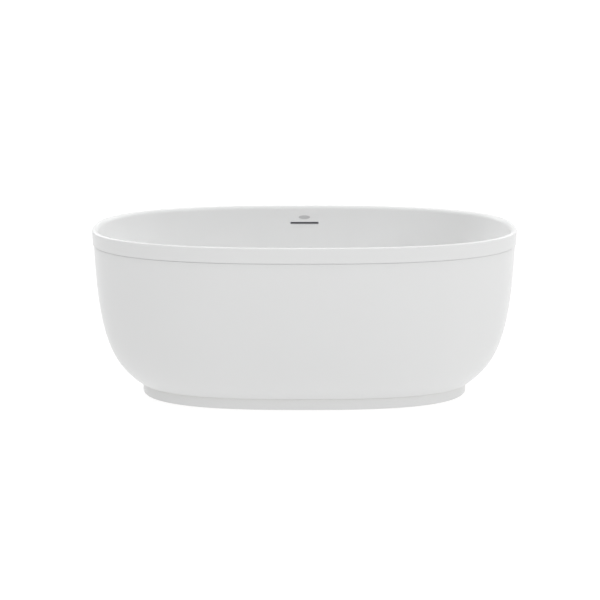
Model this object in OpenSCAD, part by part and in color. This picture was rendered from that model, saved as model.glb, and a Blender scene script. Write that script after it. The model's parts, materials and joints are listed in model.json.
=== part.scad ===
// Freestanding double-walled bathtub. A moulded basin with a turned-down rim band, an outer
// skirt tucked up behind the band, a plinth ring, a steel frame on four levelling feet, a
// toe-tap drain and a slotted overflow with its hose.
// Origin: centre of the footprint, at floor level. +X runs along the tub, the front faces -Y.

/* [Outline] */
// Overall length of the rim
tub_length = 1500; // [1450:10:1560]
// Overall width of the rim
tub_width = 750; // [740:5:790]
// Height of the rim above the floor
tub_height = 605; // [595:1:615]
// Squareness of the rim outline: 2 is an ellipse, higher is squarer
rim_power = 2.53; // [2.45:0.01:2.65]

/* [Rim] */
// Height of the turned-down band
band_height = 51; // [46:1:56]
// Thickness of the band
band_wall = 4; // [3.8:0.1:4.2]
// Width of the rim seen from above, edge to edge
rim_width = 21; // [20:1:23]
// Radius of the rim's outer edge
rim_outer_radius = 5; // [3:0.5:5.5]
// Radius of the rim's inner edge
rim_inner_radius = 9; // [7:0.5:11]

/* [Basin] */
// Thickness of the basin wall
basin_wall = 6; // [5.8:0.1:6.2]
// Length of the basin floor
floor_length = 940; // [900:10:960]
// Width of the basin floor
floor_width = 370; // [350:10:380]
// Height of the basin floor at its edge
floor_edge_z = 154; // [153:1:156]
// Height of the basin floor at the drain
floor_drain_z = 149; // [148.5:0.1:149.5]
// Height of the flat underside of the floor
underside_z = 141; // [140.5:0.1:141]

/* [Skirt] */
// Thickness of the skirt
skirt_wall = 5; // [4.5:0.1:5]
// How far the skirt's bottom edge is set in from its top, at the ends
skirt_end_inset = 141; // [135:1:145]
// Inset at the sides as a share of the inset at the ends
side_share = 0.72; // [0.7:0.01:0.74]

/* [Plinth] */
// Length of the plinth
plinth_length = 1186; // [1180:2:1190]
// Width of the plinth
plinth_width = 526; // [522:1:528]
// Height of the plinth's top
plinth_top_z = 44; // [43:1:45]
// Gap between the plinth and the floor
plinth_gap = 1.5; // [1:0.5:3]

/* [Drain and stopper] */
// Radius of the hole in the basin floor
drain_hole_r = 26; // [25.5:0.1:27]
// Radius of the tailpiece
tailpiece_r = 19.05; // [19:0.05:19.1]

/* [Overflow] */
// Length of the overflow slot
slot_length = 108; // [90:1:112]
// Height of the overflow slot
slot_height = 6; // [5:0.5:9]
// Place of the slot down the wall curve, from 0 at the rim to 1 at the floor
slot_place = 0.1025; // [0.09:0.0025:0.11]

/* [Frame and feet] */
// Wall of the frame tube
tube_wall = 2; // [1.5:0.5:2.5]
// Distance between feet along the tub
feet_length = 800; // [780:10:810]
// Distance between feet across the tub
feet_width = 350; // [340:10:350]

/* [Hidden] */

$fn = 64;
segments = 72;
wall_steps = 14;
skirt_steps = 12;
slack = 0.06; // radial clearance of a running fit
margin = 0.3; // gap between pieces that don't touch
through = 1; // how far a cutter runs past a face
cutter = 40; // a cutter longer than any wall it crosses

white = "#f4f5f6";
steel = "#8d9196";
zinc = "#b9bcc0";
chrome = "#d5d9dd";
brass = "#c9a55a";
rubber = "#26272a";
plastic = "#3a3c40";
pipe_white = "#dcdcd8";
timber = "#c8a878";

half_length = tub_length / 2;
half_width = tub_width / 2;
band_bottom_z = tub_height - band_height;
wall_top_z = tub_height - rim_inner_radius;
floor_power = 2.6;
skirt_power = 2.75;
plinth_power = 2.75;

// The wall curve: how far in and how high its four control points lie.
wall_reach = [0, 0.13, 0.62, 1];
wall_heights = [wall_top_z, 420, floor_edge_z, floor_edge_z];
wall_end_run = half_length - rim_width - floor_length / 2;
wall_side_run = half_width - rim_width - floor_width / 2;

// The skirt curve, from the groove under the band to the bottom edge.
groove_height = 2.5;
neck_inset = band_wall + 1.5;
shoulder_z = band_bottom_z - groove_height;
skirt_insets = [0, 0, 50, skirt_end_inset];
skirt_heights = [shoulder_z - 1, 195, plinth_top_z + 72, plinth_top_z];
neck_top_z = tub_height - 17;
rim_under_z = tub_height - basin_wall;
skirt_flange_top_z = plinth_top_z + skirt_wall;
flange_width = 40;
plinth_wall = 5;
plinth_screw_angles = [28:124 / 3:152];
screw_r = 2;
frame_screw_r = 2.4;

board_size = [900, 380, 18];
tube_top_z = underside_z - board_size[2];
tube_size = 25;
tube_z = tube_top_z - tube_size;
rail_length = 900;
board_hole_r = 55;
stem_hole_r = 6.6;
cross_x = [rail_length / 2 - tube_size / 2, 130];
frame_screw_x = [325, 60];

stem_r = 6;
stem_pivot_r = 5;
stem_collar_r = 9.8;
pad_r = 30;
pad_height = 22;
pad_bore_z = 8;
nut_hex_r = 11;
weld_nut_height = 10;
lock_nut_height = 6;
stem_top_z = tube_top_z - tube_wall - 2;

barrel_r = 25;
barrel_bore_r = 21;
barrel_bottom_z = 98;
flange_r = 36;
gasket_t = 0.8;
recess_depth = 2.5;
flange_under_z = floor_drain_z - recess_depth + gasket_t;
seat_z = floor_drain_z - 0.2;
hub_z = [102, 110];
stud_r = 4;
spring_seat_z = hub_z[1] + 2;
cartridge_r = 9;
cartridge_top_z = 140;
cartridge_bore_r = 7;
plunger_foot_z = 121.5;
plunger_foot_height = 4;
rod_r = 5;
tip_r = 3;
tip_height = 2.5;
cap_under_z = floor_drain_z + 2.1;
cap_r = 29.8;
boss_r = 44;
slope_end = 60; // radius at which the floor's slope ends
drain_gasket_r = 40;
drain_gasket_t = 3;
drain_washer_t = 1.2;
drain_nut_height = 10;
drain_washer_z = underside_z - drain_gasket_t - drain_washer_t;

tee_top_z = 118;
tee_bottom_z = 52;
tee_step_z = barrel_bottom_z - 3;
tee_r = 24.5;
tee_socket_r = 30;
port_z = 80;
port_length = 58;
pipe_bore_r = 8;
spigot_r = 10;
tailpiece_z = [8, 70];
tailpiece_nut_z = [44, 62];
tailpiece_neck_r = tailpiece_r - 0.35;
nut_lip = 3;

hose_r = 13;
hose_bend_r = 90;
hose_start_y = 36;
clamp_r = 14.6;
clamp_width = 9;
trim_flange = 3;
hose_bore_r = spigot_r + 0.3;
slot_clearance = [4, 3];
plate_size = [44, 14];
plate_place = slot_place * 0.62;
housing_depth = 8;
housing_wall = 1.6;
collector_y = 18;
collector_z = [-112, -82];
spigot_end_z = -135;
hose_top_z = -114;

bracket_width = 30;
bracket_t = 3;
bracket_side_x = 250;
bracket_screw_spacing = [-8, 8];
bolt_r = 3;
bolt_top_z = skirt_flange_top_z + bracket_t;
bolt_nut_height = 5;

// ---- outlines and curves ----

function signed_power(v, p) = sign(v) * pow(abs(v), p);
function lerp(a, b, f) = a + (b - a) * f;
function bezier(p, u) = p[0] * pow(1 - u, 3) + 3 * p[1] * u * pow(1 - u, 2)
    + 3 * p[2] * u * u * (1 - u) + p[3] * pow(u, 3);
function bezier_slope(p, u) = 3 * (p[1] - p[0]) * pow(1 - u, 2)
    + 6 * (p[2] - p[1]) * u * (1 - u) + 3 * (p[3] - p[2]) * u * u;

// A ring is [half length, half width, height, power]: one level outline of the tub.
function ring_point(ring, angle) = [
    ring[0] * signed_power(cos(angle), 2 / ring[3]),
    ring[1] * signed_power(sin(angle), 2 / ring[3]),
    ring[2]
];
function ring_angle(i) = 360 * (i + 0.5) / segments;
// A ring set in from the rim outline by the same distance all round.
function rim_ring(inset, z) = [half_length - inset, half_width - inset, z, rim_power];

// The basin wall at u from rim to floor, moved outwards by a thickness.
function wall_ring(u, thickness) =
    let (reach = bezier(wall_reach, u))
    let (run = bezier_slope(wall_reach, u) * (wall_end_run + wall_side_run) / 2)
    let (rise = bezier_slope(wall_heights, u))
    let (size = norm([run, rise]))
    let (out = -rise / size * thickness)
    let (down = run / size * thickness)
    [half_length - rim_width - reach * wall_end_run + out,
     half_width - rim_width - reach * wall_side_run + out,
     bezier(wall_heights, u) - down,
     lerp(rim_power, floor_power, reach)];

// The skirt at u from the band to the bottom edge, moved inwards by a thickness.
function skirt_ring(u, thickness) =
    let (inset = bezier(skirt_insets, u))
    let (run = bezier_slope(skirt_insets, u))
    let (rise = bezier_slope(skirt_heights, u))
    let (size = norm([run, rise]))
    let (inward = -rise / size * thickness)
    let (up = run / size * thickness)
    [half_length - band_wall - inset - inward,
     half_width - band_wall - inset * side_share - inward,
     bezier(skirt_heights, u) + up,
     lerp(rim_power, skirt_power, inset / skirt_end_inset)];

function plinth_ring(inset, z) =
    [plinth_length / 2 - inset, plinth_width / 2 - inset, z, plinth_power];

// Joins loops of points in order. A looped list closes on itself; any other gets end caps.
module loft(loops, looped) {
    count = len(loops);
    sides = len(loops[0]);
    last = count - 1;
    faces = [for (j = [0:looped ? last : last - 1]) for (i = [0:sides - 1])
        let (next = (i + 1) % sides)
        let (above = (j + 1) % count)
        each [
            [j * sides + i, above * sides + i, above * sides + next],
            [j * sides + i, above * sides + next, j * sides + next]
        ]];
    caps = looped ? [] : [
        [for (i = [0:sides - 1]) i],
        [for (i = [sides - 1:-1:0]) last * sides + i]
    ];
    polyhedron([for (loop = loops) each loop], concat(faces, caps), convexity = 10);
}

module skin(rings, looped) {
    loft([for (ring = rings) [for (i = [0:segments - 1]) ring_point(ring, ring_angle(i))]], looped);
}

module tube(outer_r, inner_r, height) {
    difference() {
        cylinder(r = outer_r, h = height);
        translate([0, 0, -through]) cylinder(r = inner_r, h = height + 2 * through);
    }
}

module hex_nut(hex_r, bore_r, height) {
    difference() {
        cylinder(r = hex_r, h = height, $fn = 6);
        translate([0, 0, -through]) cylinder(r = bore_r, h = height + 2 * through);
    }
}

// A screw with its head at z = 0 and its shank pointing up.
module screw(shank_r, head_r, head_height, length) {
    translate([0, 0, -head_height]) cylinder(r = head_r, h = head_height);
    cylinder(r = shank_r, h = length);
}

module mirror_x() {
    children();
    mirror([1, 0, 0]) children();
}

module mirror_y() {
    children();
    mirror([0, 1, 0]) children();
}

module at_feet() {
    for (x = [-1, 1], y = [-1, 1])
        translate([x * feet_length / 2, y * feet_width / 2, 0]) children();
}

// ---- shells ----

module basin() {
    underside = [
        [boss_r, boss_r, underside_z, 2],
        [floor_length / 2 - 15, floor_width / 2 - 13, underside_z, floor_power]
    ];
    outer_wall = [for (i = [wall_steps:-1:0]) wall_ring(i / wall_steps, basin_wall)];
    band = [
        rim_ring(rim_width - basin_wall, rim_under_z),
        rim_ring(band_wall, rim_under_z),
        rim_ring(band_wall, band_bottom_z),
        rim_ring(1, band_bottom_z),
        rim_ring(0, band_bottom_z + 1)
    ];
    outer_edge = [for (a = [0:18:90])
        rim_ring(rim_outer_radius * (1 - cos(a)), tub_height - rim_outer_radius * (1 - sin(a)))];
    inner_edge = [for (a = [90:-15:15])
        rim_ring(rim_width - rim_inner_radius * (1 - cos(a)),
            tub_height - rim_inner_radius * (1 - sin(a)))];
    inner_wall = [for (i = [0:wall_steps]) wall_ring(i / wall_steps, 0)];
    floor_slope = [for (f = [1/3, 2/3, 1]) [
        lerp(floor_length / 2, slope_end, f), lerp(floor_width / 2, slope_end, f),
        lerp(floor_edge_z, floor_drain_z, f), lerp(floor_power, 2, f)
    ]];
    drain_boss = [[boss_r, boss_r, floor_drain_z, 2]];
    color(white) difference() {
        skin(concat(underside, outer_wall, band, outer_edge, inner_edge, inner_wall,
            floor_slope, drain_boss), looped = false);
        translate([0, 0, underside_z - through]) cylinder(r = drain_hole_r, h = cutter);
        translate([0, 0, floor_drain_z - recess_depth]) cylinder(r = flange_r + 1, h = cutter);
        at_wall(slot_place) slot_hole(-10, basin_wall + 4);
    }
}

module skirt() {
    neck = [
        rim_ring(neck_inset, shoulder_z),
        rim_ring(neck_inset, neck_top_z),
        rim_ring(band_wall + skirt_wall, neck_top_z),
        rim_ring(band_wall + skirt_wall, shoulder_z - 2)
    ];
    inner = [for (i = [1:skirt_steps - 1]) skirt_ring(i / skirt_steps, skirt_wall)];
    flange = [
        plinth_ring(flange_width - 30, skirt_flange_top_z),
        plinth_ring(flange_width, skirt_flange_top_z),
        plinth_ring(flange_width, plinth_top_z)
    ];
    outer = [for (i = [skirt_steps:-1:0]) skirt_ring(i / skirt_steps, 0)];
    shoulder = [rim_ring(band_wall + 1, shoulder_z)];
    color(white) difference() {
        skin(concat(outer, shoulder, neck, inner, flange), looped = true);
        plinth_screw_places() cylinder(r = screw_r + slack, h = cutter);
        bracket_places() translate([0, 0, plinth_top_z - through])
            cylinder(r = bolt_r + slack, h = cutter);
    }
}

module plinth() {
    flange_under_z = plinth_top_z - plinth_wall;
    color(white) difference() {
        skin([
            plinth_ring(0, plinth_gap),
            plinth_ring(0, plinth_top_z),
            plinth_ring(flange_width, plinth_top_z),
            plinth_ring(flange_width, flange_under_z),
            plinth_ring(plinth_wall, flange_under_z),
            plinth_ring(plinth_wall, plinth_gap)
        ], looped = true);
        plinth_screw_places() cylinder(r = screw_r + slack, h = cutter);
        bracket_places() translate([0, 0, flange_under_z - through])
            cylinder(r = bolt_r + slack, h = cutter);
    }
}

module seam_sealant() {
    gap = 0.1;
    face_inset = neck_inset - 1.2;
    color("#a9acad") skin([
        rim_ring(face_inset, shoulder_z + gap),
        rim_ring(face_inset, band_bottom_z - gap),
        rim_ring(neck_inset - gap, band_bottom_z - gap),
        rim_ring(neck_inset - gap, shoulder_z + gap)
    ], looped = true);
}

module rim_adhesive() {
    color("#e6e2d6") skin([
        rim_ring(neck_inset, neck_top_z),
        rim_ring(neck_inset, rim_under_z),
        rim_ring(band_wall + skirt_wall, rim_under_z),
        rim_ring(band_wall + skirt_wall, neck_top_z)
    ], looped = true);
}

// ---- frame ----

module base_board() {
    color(timber) difference() {
        translate([-board_size[0] / 2, -board_size[1] / 2, tube_top_z]) cube(board_size);
        translate([0, 0, tube_top_z - through]) cylinder(r = board_hole_r, h = cutter);
        frame_screw_places() cylinder(r = frame_screw_r + slack, h = cutter);
    }
}

module square_tube(length) {
    difference() {
        translate([-length / 2, -tube_size / 2, 0]) cube([length, tube_size, tube_size]);
        translate([-length / 2 - through, tube_wall - tube_size / 2, tube_wall])
            cube([length + 2 * through, tube_size - 2 * tube_wall, tube_size - 2 * tube_wall]);
    }
}

module frame_rails() {
    color(steel) difference() {
        mirror_y() translate([0, feet_width / 2, tube_z]) square_tube(rail_length);
        at_feet() translate([0, 0, tube_z - through])
            cylinder(r = stem_hole_r, h = tube_wall + 2 * through);
        frame_screw_places() cylinder(r = frame_screw_r + slack, h = cutter);
        side_bracket_screw_places() cylinder(r = screw_r + slack, h = 8);
    }
}

module cross_members() {
    color(steel) difference() {
        mirror_x() for (x = cross_x)
            translate([x, 0, tube_z]) rotate([0, 0, 90]) square_tube(feet_width - tube_size);
        end_bracket_screw_places() cylinder(r = screw_r + slack, h = 8);
    }
}

module frame_screw_places() {
    mirror_x() mirror_y() for (x = frame_screw_x)
        translate([x, feet_width / 2, tube_z]) children();
}

module frame_screws() {
    color(zinc) frame_screw_places() screw(frame_screw_r, 5, 3, tube_size + 13);
}

// ---- brackets from the frame to the skirt flange ----

module bracket_places() {
    mirror_x() mirror_y() translate(side_bolt_place()) children();
    mirror_x() translate([plinth_length / 2 - flange_width / 2, 0, 0]) children();
}

function side_bolt_place() =
    let (middle = plinth_ring(flange_width / 2, 0))
    [bracket_side_x,
     middle[1] * pow(1 - pow(bracket_side_x / middle[0], plinth_power), 1 / plinth_power),
     0];

module side_bracket_screw_places() {
    mirror_x() mirror_y() for (x = bracket_screw_spacing)
        translate([bracket_side_x + x, feet_width / 2, tube_z - through]) children();
}

module end_bracket_screw_places() {
    mirror_x() for (y = bracket_screw_spacing)
        translate([cross_x[0], y, tube_z - through]) children();
}

// A strap that leaves the frame, drops to the flange and runs out over it. It points along +X
// from the middle of the frame tube, and reach is the distance to its bolt.
module bracket(reach) {
    drop_x = tube_size / 2 + 4;
    under_z = tube_z - bracket_t;
    tip_x = reach + 7;
    difference() {
        translate([0, bracket_width / 2, 0]) rotate([90, 0, 0]) linear_extrude(bracket_width)
            polygon([
                [-10, under_z], [drop_x, under_z], [drop_x, skirt_flange_top_z],
                [tip_x, skirt_flange_top_z], [tip_x, bolt_top_z],
                [drop_x + bracket_t, bolt_top_z], [drop_x + bracket_t, tube_z], [-10, tube_z]
            ]);
        translate([reach, 0, 0]) cylinder(r = bolt_r + slack, h = tube_z);
        for (y = bracket_screw_spacing) translate([0, y, under_z - through])
            cylinder(r = screw_r + slack, h = 8);
    }
}

module frame_brackets() {
    side_reach = side_bolt_place()[1] - feet_width / 2;
    end_reach = plinth_length / 2 - flange_width / 2 - cross_x[0];
    color(zinc) {
        mirror_x() mirror_y() translate([bracket_side_x, feet_width / 2, 0])
            rotate([0, 0, 90]) bracket(side_reach);
        mirror_x() translate([cross_x[0], 0, 0]) bracket(end_reach);
    }
}

module bracket_screw() {
    translate([0, 0, through - bracket_t]) screw(screw_r, 3.8, 2.5, 8);
}

module bracket_screws() {
    color(zinc) {
        side_bracket_screw_places() bracket_screw();
        end_bracket_screw_places() bracket_screw();
    }
}

module bracket_bolts() {
    shank = bolt_top_z - plinth_top_z + plinth_wall + 8;
    color(zinc) bracket_places() translate([0, 0, bolt_top_z]) mirror([0, 0, 1])
        screw(bolt_r, 5, 4, shank);
}

module bracket_nuts() {
    color(zinc) bracket_places() translate([0, 0, plinth_top_z - plinth_wall - bolt_nut_height])
        hex_nut(5.77, bolt_r + slack, bolt_nut_height);
}

module plinth_screw_places() {
    middle = plinth_ring(flange_width / 2, plinth_top_z - plinth_wall - through);
    for (angle = plinth_screw_angles) mirror_y() translate(ring_point(middle, angle)) children();
}

module plinth_screws() {
    color(zinc) plinth_screw_places() translate([0, 0, through])
        screw(screw_r, 4, 2.6, plinth_wall + skirt_wall + 2);
}

// ---- levelling feet ----

module foot_weld_nuts() {
    color(zinc) at_feet() translate([0, 0, tube_z - weld_nut_height])
        hex_nut(nut_hex_r, stem_r + slack, weld_nut_height);
}

module foot_lock_nuts() {
    color(zinc) at_feet() translate([0, 0, tube_z - weld_nut_height - lock_nut_height])
        hex_nut(nut_hex_r, stem_r + slack, lock_nut_height);
}

module foot_pad(side, end) {
    color(plastic) translate([side * feet_length / 2, end * feet_width / 2, 0])
        rotate_extrude() polygon([
            [0, 0], [pad_r, 0], [pad_r, 5], [14, 14], [14, pad_height],
            [stem_pivot_r + slack, pad_height], [stem_pivot_r + slack, pad_bore_z], [0, pad_bore_z]
        ]);
}

module foot_stem(side, end) {
    collar_z = pad_height + margin;
    color(zinc) translate([side * feet_length / 2, end * feet_width / 2, 0]) {
        translate([0, 0, pad_bore_z + margin])
            cylinder(r = stem_pivot_r, h = collar_z - pad_bore_z);
        translate([0, 0, collar_z]) cylinder(r = stem_collar_r, h = 10, $fn = 6);
        translate([0, 0, collar_z + 5]) cylinder(r = stem_r, h = stem_top_z - collar_z - 5);
    }
}

module foot_pad_front_left() foot_pad(-1, -1);
module foot_pad_front_right() foot_pad(1, -1);
module foot_pad_rear_left() foot_pad(-1, 1);
module foot_pad_rear_right() foot_pad(1, 1);
module foot_stem_front_left() foot_stem(-1, -1);
module foot_stem_front_right() foot_stem(1, -1);
module foot_stem_rear_left() foot_stem(-1, 1);
module foot_stem_rear_right() foot_stem(1, 1);

// ---- drain ----

module drain_flange() {
    hub_height = hub_z[1] - hub_z[0];
    lip_z = floor_drain_z + 1.4;
    spoke_t = 3;
    color(chrome) difference() {
        union() {
            rotate_extrude() polygon([
                [barrel_bore_r, barrel_bottom_z], [barrel_r, barrel_bottom_z],
                [barrel_r, flange_under_z], [flange_r, flange_under_z],
                [flange_r, floor_drain_z], [flange_r - 2, lip_z],
                [cap_r + 1.2, lip_z], [cap_r + 0.6, seat_z],
                [barrel_bore_r + 1.5, seat_z], [barrel_bore_r, seat_z - 1.5]
            ]);
            for (turn = [45:90:315]) rotate([0, 0, turn])
                translate([5, -spoke_t / 2, hub_z[0]])
                    cube([barrel_bore_r - 3, spoke_t, hub_height]);
            translate([0, 0, hub_z[0]]) cylinder(r = 8, h = hub_height);
        }
        translate([0, 0, hub_z[0] - through])
            cylinder(r = stud_r + slack, h = hub_height + 2 * through);
    }
}

module flange_gasket() {
    color(rubber) translate([0, 0, floor_drain_z - recess_depth])
        tube(flange_r - 0.5, barrel_r + 1.5, gasket_t);
}

module drain_gasket() {
    color(rubber) translate([0, 0, underside_z - drain_gasket_t])
        tube(drain_gasket_r, barrel_r + margin, drain_gasket_t);
}

module drain_washer() {
    color(pipe_white) translate([0, 0, drain_washer_z])
        tube(drain_gasket_r, barrel_r + margin, drain_washer_t);
}

module drain_lock_nut() {
    color(brass) translate([0, 0, drain_washer_z - drain_nut_height])
        hex_nut(39, barrel_r + slack, drain_nut_height);
}

module waste_tee() {
    color(pipe_white) difference() {
        union() {
            translate([0, 0, tee_bottom_z]) cylinder(r = tee_r, h = tee_top_z - tee_bottom_z);
            translate([0, 0, barrel_bottom_z - 8])
                cylinder(r = tee_socket_r, h = tee_top_z - barrel_bottom_z + 8);
            translate([0, 0, port_z]) rotate([-90, 0, 0]) cylinder(r = spigot_r, h = port_length);
        }
        translate([0, 0, tee_step_z]) cylinder(r = barrel_r + slack, h = cutter);
        translate([0, 0, tailpiece_z[1]])
            cylinder(r = barrel_bore_r, h = barrel_bottom_z - tailpiece_z[1]);
        translate([0, 0, tee_bottom_z - through])
            cylinder(r = tailpiece_neck_r + slack, h = cutter);
        translate([0, 0, port_z]) rotate([-90, 0, 0])
            cylinder(r = pipe_bore_r, h = port_length + through);
    }
}

module tee_seal() {
    color(rubber) translate([0, 0, tee_step_z])
        tube(barrel_r, barrel_bore_r, barrel_bottom_z - tee_step_z);
}

// Its neck is turned down, which leaves a shoulder that holds the nut up.
module tailpiece() {
    bore_r = tailpiece_r - 1.4;
    color(brass) rotate_extrude() polygon([
        [bore_r, tailpiece_z[0]], [tailpiece_r, tailpiece_z[0]], [tailpiece_r, tailpiece_nut_z[0]],
        [tailpiece_neck_r, tailpiece_nut_z[0]], [tailpiece_neck_r, tailpiece_z[1]],
        [bore_r, tailpiece_z[1]]
    ]);
}

module tailpiece_washer() {
    bottom_z = tailpiece_nut_z[0] + nut_lip;
    color(rubber) translate([0, 0, bottom_z])
        tube(tee_r - 0.1, tailpiece_neck_r + slack, tee_bottom_z - bottom_z);
}

module tailpiece_nut() {
    color(brass) difference() {
        translate([0, 0, tailpiece_nut_z[0]])
            cylinder(r = 30, h = tailpiece_nut_z[1] - tailpiece_nut_z[0], $fn = 6);
        translate([0, 0, tailpiece_nut_z[0] - through])
            cylinder(r = tailpiece_neck_r + slack, h = cutter);
        translate([0, 0, tailpiece_nut_z[0] + nut_lip]) cylinder(r = tee_r + slack, h = cutter);
    }
}

// ---- stopper ----

module click_cartridge() {
    rod_hole_r = rod_r + slack;
    bore_r = cartridge_bore_r + slack;
    lid_z = cartridge_top_z - 3;
    color(brass) rotate_extrude() polygon([
        [0, hub_z[0]], [stud_r, hub_z[0]], [stud_r, hub_z[1]], [cartridge_r, hub_z[1]],
        [cartridge_r, cartridge_top_z], [rod_hole_r, cartridge_top_z],
        [rod_hole_r, lid_z], [bore_r, lid_z], [bore_r, spring_seat_z], [0, spring_seat_z]
    ]);
}

// A helical spring, lofted along its coil.
module click_spring() {
    wire_r = 0.6;
    coil_r = 5.4;
    turns = 5;
    per_turn = 16;
    sides = 6;
    bottom_z = spring_seat_z + margin + wire_r;
    top_z = plunger_foot_z - margin - wire_r;
    steps = turns * per_turn;
    color(zinc) loft([for (i = [0:steps]) [for (k = [0:sides - 1])
        let (angle = 360 * i / per_turn)
        let (r = coil_r + wire_r * cos(360 * k / sides))
        [r * cos(angle), r * sin(angle),
         lerp(bottom_z, top_z, i / steps) - wire_r * sin(360 * k / sides)]]], looped = false);
}

module click_plunger() {
    foot_top_z = plunger_foot_z + plunger_foot_height;
    tip_z = cap_under_z + tip_height;
    color(brass) rotate_extrude() polygon([
        [0, plunger_foot_z], [cartridge_bore_r, plunger_foot_z], [cartridge_bore_r, foot_top_z],
        [rod_r, foot_top_z], [rod_r, cap_under_z], [tip_r, cap_under_z], [tip_r, tip_z], [0, tip_z]
    ]);
}

module stopper_seal() {
    color(rubber) translate([0, 0, seat_z + margin])
        tube(cap_r - 1, barrel_bore_r + 2, cap_under_z - seat_z - margin);
}

module stopper_cap() {
    socket_r = tip_r + slack;
    socket_height = tip_height + 0.1;
    color(chrome) translate([0, 0, cap_under_z]) rotate_extrude() polygon([
        [socket_r, 0], [cap_r - 0.4, 0], [cap_r, 0.5], [cap_r, 1.3], [cap_r - 1.3, 2.7],
        [20, 3.9], [10, 4.3], [0, 4.5], [0, socket_height], [socket_r, socket_height]
    ]);
}

// ---- overflow ----

// The rear wall's lean from upright, and the [y, z] of a spot on it.
function wall_tilt(place) =
    atan(-bezier_slope(wall_reach, place) * wall_side_run / bezier_slope(wall_heights, place));
function wall_spot(place) =
    let (ring = wall_ring(place, 0))
    [ring_point(ring, ring_angle(segments / 4))[1], ring[2]];

// Moves its children to the rear wall: local +Y points out through the wall, +Z up along it.
module at_wall(place) {
    spot = wall_spot(place);
    translate([0, spot[0], spot[1]]) rotate([-wall_tilt(place), 0, 0]) children();
}

module stadium(length, height) {
    square([length - height, height], center = true);
    for (side = [-1, 1]) translate([side * (length - height) / 2, 0]) circle(d = height);
}

// A round-ended bar along X that runs from one local Y to another.
module slot_prism(length, height, from, to) {
    translate([0, from, 0]) rotate([-90, 0, 0]) linear_extrude(to - from) stadium(length, height);
}

// The opening for the trim in the wall and its gasket.
module slot_hole(from, to) {
    slot_prism(slot_length + slot_clearance[0], slot_height + slot_clearance[1], from, to);
}

module overflow_trim() {
    color(chrome) at_wall(slot_place) difference() {
        union() {
            slot_prism(slot_length + 2 * trim_flange, slot_height + 2 * trim_flange, -1.3, -0.3);
            slot_prism(slot_length + 3.4, slot_height + 2.4, -0.5, basin_wall - 0.5);
        }
        slot_prism(slot_length, slot_height, -5, basin_wall + 5);
    }
}

module overflow_gasket() {
    color(rubber) at_wall(slot_place) difference() {
        slot_prism(slot_length + 20, slot_height + 10, basin_wall, basin_wall + 1);
        slot_hole(basin_wall - through, basin_wall + 1 + through);
    }
}

// The outline of the flat funnel behind the wall, shrunk by a wall thickness.
module funnel(shrink) {
    top = 9 - shrink;
    bottom = shrink - 95;
    wide = 65 - shrink;
    narrow = 17 - shrink;
    polygon([
        [-wide, top], [wide, top], [wide, -18], [narrow, bottom], [-narrow, bottom], [-wide, -18]
    ]);
}

module funnel_plate(shrink, from, to) {
    translate([0, to, 0]) rotate([90, 0, 0]) linear_extrude(to - from) funnel(shrink);
}

module overflow_housing() {
    front = basin_wall + 1;
    back = front + housing_depth;
    color(plastic) at_wall(slot_place) difference() {
        union() {
            funnel_plate(0, front, back);
            translate([0, collector_y, collector_z[0]])
                cylinder(r = 12, h = collector_z[1] - collector_z[0]);
            translate([0, collector_y, spigot_end_z])
                cylinder(r = spigot_r, h = collector_z[0] - spigot_end_z + 1);
        }
        funnel_plate(housing_wall, front + housing_wall, back - housing_wall);
        slot_prism(slot_length, slot_height, front - through, front + housing_wall + through);
        translate([0, collector_y, spigot_end_z - through])
            cylinder(r = pipe_bore_r, h = collector_z[1] - spigot_end_z - 1);
    }
}

// The hose lies in the plane x = 0: a straight drop, a bend and a level run to the tee.
tilt = wall_tilt(slot_place);
hose_top = wall_spot(slot_place)
    + collector_y * [cos(tilt), -sin(tilt)] + hose_top_z * [sin(tilt), cos(tilt)];
bend_top_z = port_z + hose_bend_r * (1 - sin(tilt));
drop_length = (hose_top[1] - bend_top_z) / cos(tilt);
bend_center_y = hose_top[0] - drop_length * sin(tilt) - hose_bend_r * cos(tilt);

// Stations along the hose, from the housing to the tee: [y, z, lean from level].
function hose_stations() = concat(
    [[hose_top[0], hose_top[1], 90 - tilt]],
    [for (f = [0:1/12:1]) let (lean = (90 - tilt) * (1 - f))
        [bend_center_y + hose_bend_r * sin(lean),
         port_z + hose_bend_r * (1 - cos(lean)), lean]],
    [[hose_start_y, port_z, 0]]);
function hose_loop(station, r) = [for (angle = [0:15:345]) [
    r * cos(angle),
    station[0] - r * sin(angle) * sin(station[2]),
    station[1] + r * sin(angle) * cos(station[2])
]];

module overflow_hose() {
    stations = hose_stations();
    last = len(stations) - 1;
    color("#c9cccc") loft(concat(
        [for (station = stations) hose_loop(station, hose_r)],
        [for (i = [last:-1:0]) hose_loop(stations[i], hose_bore_r)]
    ), looped = true);
}

module hose_clamp() {
    color(zinc) {
        tube(clamp_r, hose_r + 0.05, clamp_width);
        translate([clamp_r - 0.5, -5, 0.5]) cube([5, 10, clamp_width - 1]);
    }
}

module hose_clamps() {
    at_wall(slot_place) translate([0, collector_y, hose_top_z - 4 - clamp_width]) hose_clamp();
    translate([0, hose_start_y + 4, port_z]) rotate([-90, 0, 0]) hose_clamp();
}

// A plain oval plate on the wall above the slot.
module maker_plate() {
    outline = [plate_size[0] / 2, plate_size[1] / 2, 0, 2];
    color(zinc) at_wall(plate_place) translate([0, -1.1, 0]) rotate([-90, 0, 0])
        linear_extrude(0.8) polygon([for (i = [0:segments - 1])
            let (point = ring_point(outline, ring_angle(i))) [point[0], point[1]]]);
}

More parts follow.
